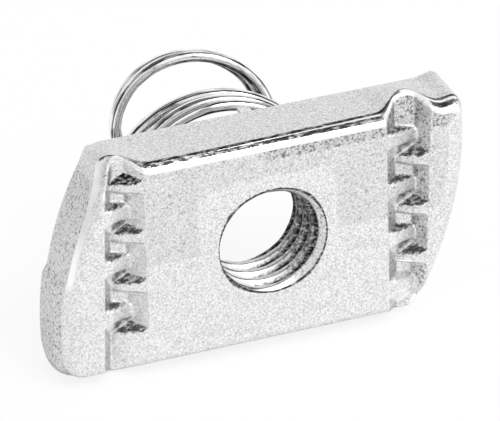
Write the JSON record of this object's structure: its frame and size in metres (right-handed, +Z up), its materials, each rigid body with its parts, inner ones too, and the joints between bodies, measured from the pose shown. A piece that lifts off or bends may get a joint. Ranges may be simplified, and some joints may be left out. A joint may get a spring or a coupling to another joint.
{
  "type": "strut spring nut",
  "caption": "Pressed steel channel nut with a threaded hole, toothed grooves that grip the lips of strut channel, and a coil spring behind.",
  "frame": {"origin": "on the axis of the threaded hole, in the plane of the toothed face", "axes": "+X along the plate's length, +Z up across its width as it stands on a long edge, -Y out of the toothed face, +Y back through the spring"},
  "size_m": [0.0354, 0.023, 0.02],
  "materials": {
    "plated_plate": "bright zinc plating over pressed steel, fine grain, satin",
    "spring_wire": "bright drawn spring wire"
  },
  "bodies": {
    "root": {"nut_plate": "plated_plate", "coil_spring": "spring_wire"}
  },
  "joints": []
}
